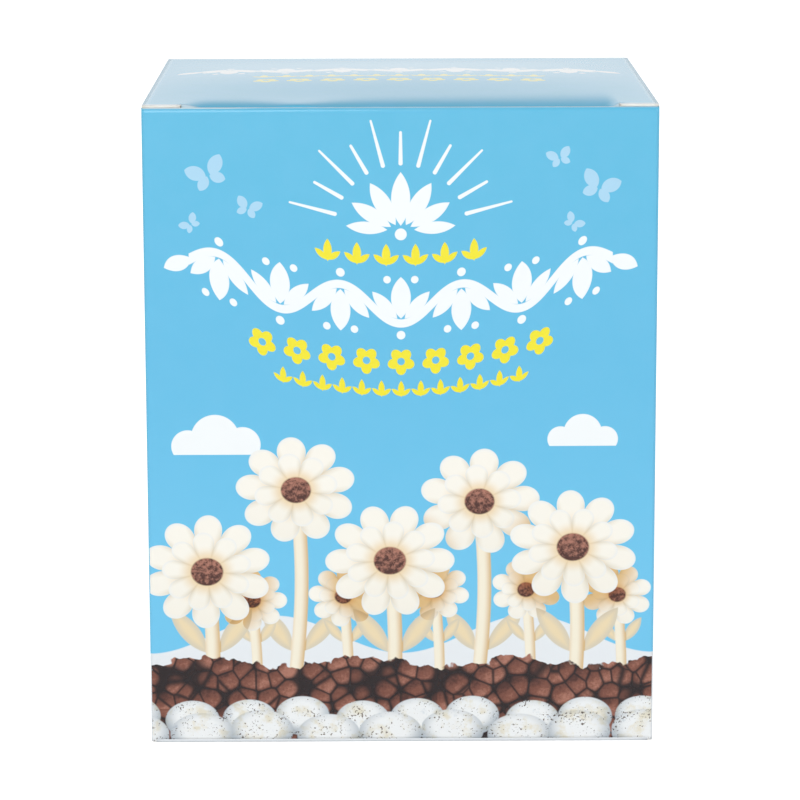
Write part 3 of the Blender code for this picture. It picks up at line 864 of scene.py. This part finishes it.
def makeLid():  # flat behind, bowed down to the tuck crease, with a slit at each end of the crease
    points, shares, shoulder = lidProfile()
    edge = halfWidth - lid["edge"]
    slitAt = halfWidth - lid["shoulder"]
    half = np.concatenate([
        np.linspace(edge, slitAt + lid["slit"], 6),
        slitAt - max(lid["ease"]) * np.linspace(0, 1, 14),
        np.linspace(slitAt - max(lid["ease"]), 0, 24)[1:],
    ])
    columns = np.concatenate([-half, half[::-1][1:]])
    window = np.clip((slitAt - np.abs(columns)) / np.where(columns < 0, *lid["ease"]), 0, 1)
    window = window * window * (3 - 2 * window)
    # the bow starts later towards the left, and latest at one hump
    power = lid["power"] - lid["lean"] * columns / edge + lid["hump"][0] * humpAt(columns)
    z = points[:, 1:] - (fallAt(columns) * window)[None] * shares[:, None] ** power[None]
    crowned = swell((points[:, :1] + halfDepth) / (2 * halfDepth)) * swell((columns / edge + 1) / 2) ** 0.3
    z = z + lid["crown"] * crowned
    inBend = ~np.isnan(shoulder)
    corner = inBend[:, None] & (np.abs(columns) > slitAt)[None]
    y = np.where(corner, np.nan_to_num(shoulder)[:, None], points[:, :1])
    z = np.where(corner, height, z)
    distance = along(points)
    zero = np.interp(0.0, -points[:, 0], distance)
    flat = joined(columns, (zero - distance)[:, None])
    middle = (np.abs(columns[:-1]) + np.abs(columns[1:])) / 2
    overSlit = (middle > slitAt) & (middle < slitAt + lid["slit"])
    keep = ~(inBend[1:, None] & overSlit[None])
    points = joined(columns, y, z)
    piece = boardPiece("lid_panel", points, flat, (0, 1, 0), looks["lid"], None, "lid", keep)
    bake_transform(piece)


def cornerInset(rest, corner):  # how far a rounded corner draws an edge in, this far from the free end
    near = np.clip((corner - rest) / corner, 0, 1)
    return corner * (1 - np.sqrt(1 - near ** 2 * 0.9999))


tuck = {"taper": 2.5, "corner": 8.0}


def makeTuck():  # the flap behind the front wall, its outline rounded at its two free corners
    root = lidProfile()[0][-1] - (0, lid["drop"])
    down = np.array([math.sin(tuckLean), -math.cos(tuckLean)])
    length = (root[1] - tuckLow[2]) / math.cos(tuckLean)
    share = 1 - (1 - np.linspace(0, 1, 25)[:, None]) ** 1.6  # rows stand closer near the free edge
    run = share * length
    half = tuckHigh[0] - tuck["taper"] * share - cornerInset(length - run, tuck["corner"])
    x = half * np.linspace(-1, 1, 65)
    z = root[1] + down[1] * run + (lid["drop"] - fallAt(x)) * (1 - share) ** 3
    flat = joined(x, run)
    points = joined(x, root[0] + down[0] * run, z)
    piece = boardPiece("tuck_panel", points, flat, (0, -1, 0), looks["flap"], None, "tuck_flap")
    root[0] * mm
    root[1] * mm
    (root[0] + down[0]) * mm
    (root[1] + down[1]) * mm
    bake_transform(piece)


dust = {"slope": 5.5, "lockAt": 13.0, "lockStep": 2.0, "frontTaper": 3.0, "rearSlant": 0.8, "corner": 7.0}


def makeDust(side, name, body):  # its crease, then the flap that slopes down into the carton
    low, high = nodeBox(body)
    foot, top = jointAt["dust_left_crease"][2], high[2]
    length = high[0] - low[0] - creaseRadius
    wallPart = np.stack([np.full(4, halfWidth), np.linspace(foot - creaseFoot, foot, 4)], -1)
    middle = (halfWidth - creaseRadius, top - creaseRadius)
    crease = arcPoints(middle, creaseRadius, 0, 90 + dust["slope"], 10)
    slope = math.radians(dust["slope"])
    run = crease[-1] + np.array([-math.cos(slope), -math.sin(slope)]) * np.linspace(0, length, 25)[1:, None]
    points = np.concatenate([wallPart, crease, run])
    distance = along(points)
    reach = np.maximum(distance - (distance[-1] - length), 0)
    inset = cornerInset(length - reach, dust["corner"])
    lock = np.clip((reach - dust["lockAt"]) / dust["lockStep"], 0, 1) * dust["lockStep"]
    taper = np.clip((reach - dust["lockAt"]) / (length - dust["lockAt"]), 0, 1) * dust["frontTaper"]
    front = low[1] + lock + taper + inset
    rear = high[1] - dust["rearSlant"] * reach - inset
    y = front[:, None] + (rear - front)[:, None] * np.linspace(0, 1, 41)
    grid = joined(side * points[:, :1], y, points[:, 1:])
    flat = joined(y, distance[:, None])
    piece = boardPiece(name, grid, flat, (side, 0, 0), looks["flap"], None, body)
    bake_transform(piece)


# Bottom flaps: a path from the wall's foot round its crease and across, with bands along the crease

bottom = {
    "tongueStart": -4.5, "ramp": 10.0, "tongueHalf": 27.0, "tongueTip": 26.5,
    "notchHalf": 31.0, "notchFlare": 3.0, "legTip": -22.0,
    "middleGap": 6.0, "windowHalf": 33.0, "sideStep": -6.0, "sideSlant": 27.0,
    "taper": 4.0, "corner": 6.0, "room": 0.3,
}


def creasePath(outer, foot):  # round the bottom crease, as distance outwards and height
    return arcPoints((outer - creaseRadius, foot + creaseRadius), creaseRadius, 0, -90, 8)


def banded(borders, counts):  # columns between borders that vary from row to row
    columns = [borders[0][:, None]]
    for low, high, count in zip(borders, borders[1:], counts):
        columns.append(low[:, None] + (high - low)[:, None] * np.linspace(0, 1, count + 1)[None, 1:])
    return np.concatenate(columns, 1)


def bottomPiece(name, path, borders, counts, keepOf, side):  # keepOf: which cells of a band stay
    across = banded(borders, counts)
    band = np.repeat(np.arange(len(counts)), counts)
    keep = keepOf((path[1:, 0] + path[:-1, 0])[:, None] / 2, band[None])
    keep = np.broadcast_to(keep, (len(path) - 1, len(band)))
    out, up = path[:, :1], path[:, 1:]
    points = joined(side[0] * out, across, up) if side[0] else joined(across, side[1] * out, up)
    flat = joined(across, along(path)[:, None])
    node = name.replace("_panel", "_flap")
    boardPiece(name, points, flat, (*side, 0), looks["bottom"], "carton", node, keep)


def makeTongue():  # the front flap lies outermost, and its tongue ramps up through the notch
    start, end = bottom["tongueStart"], bottom["tongueStart"] + bottom["ramp"]
    path = np.concatenate([
        creasePath(halfDepth, 0.0),
        straight((halfDepth - 2, 0), (-start, 0), 22),
        straight((-start, 0), (-end, 3 * layerRise), 6)[1:],
        straight((-end, 3 * layerRise), (-bottom["tongueTip"], 3 * layerRise), 14)[1:],
    ])
    out = path[:, 0]
    root = halfDepth - creaseRadius
    share = np.clip((root - out) / (root + start), 0, 1)
    half = tongueHigh[0] - bottom["room"] - 2 * bottom["taper"] * share
    half = half - cornerInset(np.maximum(out + start, 0), bottom["corner"])
    tip = np.clip((-end - out) / (bottom["tongueTip"] - end), 0, 1)
    tongue = bottom["tongueHalf"] - bottom["taper"] * tip
    tongue = tongue - cornerInset(out + bottom["tongueTip"], bottom["corner"])
    half = np.maximum(half, tongue + 0.5)
    bottomPiece(
        "bottom_tongue_panel", path, [-half, -tongue, tongue, half], [12, 24, 12],
        lambda o, band: (o > -start) | (band == 1), (0, -1),
    )


def makeNotched():  # the back flap lies innermost, notched for the tongue
    notch = bottom["tongueStart"] + bottom["ramp"] + board
    path = np.concatenate([
        creasePath(halfDepth, bottomFoot["back"]),
        straight((halfDepth - 2, bottomFoot["back"]), (notch, bottomFoot["back"]), 22),
        straight((notch, bottomFoot["back"]), (bottom["legTip"], bottomFoot["back"]), 16)[1:],
    ])
    out = path[:, 0]
    share = np.clip((halfDepth - out) / (halfDepth - bottom["legTip"]), 0, 1)
    rest = out - bottom["legTip"]
    half = notchedHigh[0] - bottom["room"] - bottom["taper"] * share - cornerInset(rest, bottom["corner"])
    flare = bottom["notchFlare"] * np.clip((notch - out) / (notch - bottom["legTip"]), 0, 1)
    inner = bottom["notchHalf"] + flare + cornerInset(rest, bottom["corner"] / 2)
    bottomPiece(
        "bottom_notched_panel", path, [-half, -inner, inner, half], [12, 20, 12],
        lambda o, band: (o > notch) | (band != 1), (0, 1),
    )


def makeSide(side, name):  # it fills the front half and slants away behind the tongue
    foot = bottomFoot["side"]
    window, gapHalf = bottom["windowHalf"], bottom["middleGap"]
    path = np.concatenate([
        creasePath(halfWidth, foot),
        straight((halfWidth - 2, foot), (window, foot), 18),
        straight((window, foot), (gapHalf, foot), 16)[1:],
    ])
    out = path[:, 0]
    reach = halfDepth - board - 2 * creaseRadius
    front = -reach + 0 * out
    step = np.full(len(out), bottom["sideStep"])
    slant = np.clip((halfWidth - board - gap - bottom["taper"] - out) / bottom["sideSlant"], 0, 1)
    rear = reach - (reach - bottom["ramp"]) * slant
    inset = cornerInset(np.maximum(out - gapHalf, 0), bottom["corner"])
    bottomPiece(
        name, path, [front + inset, step - inset, np.maximum(rear, step + 0.5)], [20, 20],
        lambda o, band: (o > window) | (band == 0), (side, 0),
    )


makeTube()
makeLid()
makeTuck()
makeDust(-1, "dust_panel_left", "dust_flap_left")
makeDust(1, "dust_panel_right", "dust_flap_right")
makeTongue()
makeNotched()
makeSide(-1, "bottom_side_panel_left")
makeSide(1, "bottom_side_panel_right")
print("board: walls, lid and flaps are folded")


# What the carton holds: the grow block in its film bag, and the packet of casing soil

block = {"round": 6.0, "lump": 0.7, "dip": 1.1, "steps": 144, "eye": 0.4}


def lathe(name, profile, ripple, look, node):  # a profile's radius and height, turned round Z
    around = np.linspace(0, 2 * math.pi, block["steps"], endpoint=False)
    radius, z = ripple(profile[:, :1], profile[:, 1:], around)
    points = joined(radius * np.cos(around), radius * np.sin(around), z)
    piece = meshFrom(name, points, gridFaces(*points.shape[:2], closed=True))
    piece.data.materials.append(look)
    stand(piece, "carton", node)
    return piece


def roundedProfile(radius, low, high, corner):  # from the small eye on the axis, round the side to the other
    foot = arcPoints((radius - corner, low + corner), corner, -90, 0, 9)
    top = arcPoints((radius - corner, high - corner), corner, 0, 90, 9)
    side = straight(foot[-1], top[0], 60)[1:-1]
    inwards = straight(top[-1], (block["eye"], high), 26)[1:]
    return np.concatenate([straight((block["eye"], low), foot[0], 12)[:-1], foot, side, top, inwards])


def makeBlock():  # a rounded cylinder with lumps
    profile = roundedProfile(blockHigh[0], blockLow[2], blockHigh[2], block["round"])

    def ripple(radius, z, around):  # lumps, always inwards: sums of sines of the angle and the height
        lumps = np.sin(5 * around + z / 9) * np.sin(z / 7 + 1.3) + np.sin(11 * around - z / 5) * 0.6
        lumps = lumps + np.sin(23 * around + z / 2.3) * 0.35 + np.sin(3 * around + z / 17) * 0.7
        depth = block["lump"] * (0.5 - lumps / 5.3)
        dips = np.cos(radius / 6 + 2 * around) * np.sin(3 * around + radius / 9) * 0.5 + 0.5
        onTop = z > blockHigh[2] - 0.5
        return radius - depth * (radius > 30), z - onTop * dips * np.minimum(radius / 12, 1) * block["dip"]

    lathe("block", profile, ripple, looks["block"], "grow_block")


bag = {
    "room": 0.7, "neck": 6.0, "neckHeight": 7.0, "flare": 3.0, "crease": 0.2,
    "pleats": 18, "pleatRise": 0.35, "pleatDepth": 1.3, "used": 0.78,
}


def makeBag():  # clear film, smooth round the block and drawn in pleats to its neck
    base, top = bagLow[2], blockHigh[2] + bag["room"]
    radius = bagHigh[0]
    profile = roundedProfile(radius, base, top, block["round"] + bag["room"])
    neckFoot = np.argmax((profile[:, 0] < bag["neck"] + 2) & (profile[:, 1] > top - 0.1))
    neck = [(bag["neck"] + 0.8, top + 0.8), (bag["neck"], top + 2.4), (bag["neck"] + 0.5, top + 4.4),
            (bag["neck"] + bag["flare"], top + bag["neckHeight"])]
    profile = np.concatenate([profile[:neckFoot], np.array(neck)])

    def ripple(r, z, around):  # shallow creases on the side, pleats that deepen towards the neck
        onTop = np.clip((z - top + 7) / 7, 0, 1)
        inward = np.clip((radius - r) / (radius - bag["neck"]), 0, 1)
        pleat = np.cos(bag["pleats"] * around + 1.4 * np.sin(3 * around) + r / 40)
        fine = np.cos(3 * bag["pleats"] * around + 2 * np.sin(5 * around))
        z = z + onTop * inward * (pleat * bag["pleatRise"] + fine * 0.12) * (z < top + 0.5)
        inNeck = np.clip((z - top) / 2, 0, 1)
        r = r - inNeck * (0.5 + 0.5 * pleat) * bag["pleatDepth"]
        side = (1 - onTop) * (np.sin(7 * around + z / 13) * np.sin(z / 8) * 0.5 + 0.5) * bag["crease"]
        return r - side * (r > 40), z

    piece = lathe("bag_film", profile, ripple, looks["film"], "film_bag")
    # the bag's size while it lies flat, not opened yet
    flat = (math.pi * radius * mm, (top - base + 2 * radius + bag["neckHeight"]) * mm)
    flat[0] * flat[1] * bag["used"]


packet = {"seam": 0.3, "lump": 0.8, "wrinkle": 0.8, "around": 46, "along": 97}


def makePacket():  # a pillow of film with crimped ends and the soil's lumps showing through
    over = np.linspace(-1, 1, packet["around"])
    b = np.concatenate([over, over[::-1][1:-1]])[None]  # across the top, then back underneath
    upper = (np.arange(b.size) < len(over))[None]
    a = np.linspace(-1, 1, packet["along"])[:, None]
    centre, half = (packetLow + packetHigh) / 2, (packetHigh - packetLow) / 2
    thick = 2 * half[2]
    seam = packetLow[2] + thick * packet["seam"]
    # each side rises from the seam by (1 - a^4)(1 - b^4); lumps and wrinkles only press it in
    crown = (1 - a ** 4) * (1 - b ** 4)
    z = seam + thick * crown * np.where(upper, 1 - packet["seam"], -packet["seam"])
    lumps = np.sin(a * 31 + b * 7) * np.sin(b * 17 - a * 5) * 0.5
    lumps = lumps + np.sin(a * 57) * np.sin(b * 33 + a * 9) * 0.3
    wrinkles = np.cos(b * 21 + np.sin(a * 3)) * np.exp(-((1 - np.abs(a)) / 0.16) ** 2) * 0.5
    pressed = np.abs(lumps) * packet["lump"] * crown + np.abs(wrinkles) * packet["wrinkle"] * crown ** 0.3
    z = z - pressed * upper
    # corners draw in a little, and the crimped ends are toothed
    pinch = 1 - 0.025 * (a * a + b * b) - 0.004 * (1 + np.cos(b * 9)) * (np.abs(a) > 0.95)
    points = joined(centre[0] + a * half[0] * pinch, centre[1] + b * half[1] * pinch, z)
    piece = meshFrom("packet_film", points, gridFaces(*points.shape[:2], closed=True))
    made = bmesh.new()
    made.from_mesh(piece.data)
    bmesh.ops.remove_doubles(made, verts=made.verts, dist=0.01 * mm)
    bmesh.ops.recalc_face_normals(made, faces=made.faces)
    made.to_mesh(piece.data)
    made.free()
    piece.data.materials.append(looks["packet"])
    stand(piece, "carton", "soil_packet")


makeBlock()
makeBag()
makePacket()
print("contents: block, bag and packet are in the carton")


# Stage: a white sweep, soft lamps and the photograph's camera

camera = {"place": (-5.1, -932.4, 265.9), "down": 0.19787, "turn": 0.00549, "roll": -0.00256, "lens": 157.63}


def makeCamera():  # level first, then turned, tipped down and rolled by small angles in radians
    data = bpy.data.cameras.new("camera")
    data.lens = camera["lens"]
    data.sensor_width = 36
    data.clip_end = 20
    made = linked("camera", data)
    down, turn, roll = camera["down"], camera["turn"], camera["roll"]
    forward = Vector((math.sin(turn) * math.cos(down), math.cos(turn) * math.cos(down), -math.sin(down)))
    right = Vector((math.cos(turn), -math.sin(turn), 0))
    up = right.cross(forward)
    rolledRight = right * math.cos(roll) + up * math.sin(roll)
    rolledUp = up * math.cos(roll) - right * math.sin(roll)
    axes = Matrix((rolledRight, rolledUp, -forward)).transposed()
    made.matrix_world = Matrix.Translation(Vector(camera["place"]) * mm) @ axes.to_4x4()
    bpy.context.scene.camera = made


stage = {
    "floorHalf": 6.0, "floorTone": 0.86, "floorGlow": 0.5, "worldLight": 0.68,
    "glossSky": (0.08, 0.6, 1.25, 0.4),  # it dims between two heights of a ray, from one light to another
}


def makeFloor():  # plain white for light, and glowing to full white for the camera
    half = stage["floorHalf"]
    mesh = bpy.data.meshes.new("floor")
    corners = [(-half, -half, 0), (half, -half, 0), (half, half, 0), (-half, half, 0)]
    mesh.from_pydata(corners, [], [(0, 1, 2, 3)])
    floor = linked("floor", mesh)
    paint = Paint("floor_white")
    seen = paint.out("LightPath", "Is Camera Ray")
    level = stage["floorTone"]
    plain = paint.out("BsdfDiffuse", 0, inputs={"Color": (level, level, level, 1)})
    bright = paint.out("BsdfDiffuse", 0, inputs={"Color": (1, 1, 1, 1)})
    glow = paint.out("Emission", 0, inputs={"Strength": stage["floorGlow"]})
    white = paint.out("AddShader", 0, inputs={0: bright, 1: glow})
    mixed = paint.out("MixShader", 0, inputs={0: seen, 1: plain, 2: white})
    paint.node("OutputMaterial", inputs={"Surface": mixed})
    mesh.materials.append(paint.material)


def makeWorld():  # plain light for surfaces, white for the camera, and a sky that dims upwards in gloss
    world = bpy.data.worlds.new("studio")
    bpy.context.scene.world = world
    nodes = Nodes(world)
    plain = stage["worldLight"]
    rise = nodes.out("SeparateXYZ", "Z", inputs={0: nodes.out("TexCoord", "Generated")})
    gloss = nodes.out("LightPath", "Is Glossy Ray") * (nodes.ramp(rise, *stage["glossSky"]) - plain)
    seen = nodes.out("LightPath", "Is Camera Ray") * (1 - plain)
    light = nodes.out("Background", 0, inputs={"Strength": gloss + seen + plain})
    nodes.node("OutputWorld", inputs={"Surface": light})


lamps = {  # place and size in m, and power in W
    "front_softbox": ((-0.7, -1.9, 1.1), 1.4, 22),
    "side_softbox": ((1.5, -1.4, 0.9), 1.0, 7),
    "rear_left_softbox": ((-1.5, 1.5, 0.5), 1.0, 7),
    "rear_right_softbox": ((1.5, 1.5, 0.5), 1.0, 7),
}


def makeLamps():  # square, and all aimed at the carton's middle
    aim = Vector((0, 0, 0.08))
    for name, (place, size, power) in lamps.items():
        data = bpy.data.lights.new(name, "AREA")
        data.shape = "RECTANGLE"
        data.size = data.size_y = size
        data.energy = power
        lamp = linked(name, data)
        lamp.location = place
        lamp.rotation_euler = (aim - Vector(place)).to_track_quat("-Z", "Y").to_euler()


makeCamera()
makeFloor()
makeWorld()
makeLamps()
bpy.context.scene.view_settings.view_transform = "Standard"
print("stage: camera, floor and lamps are set")
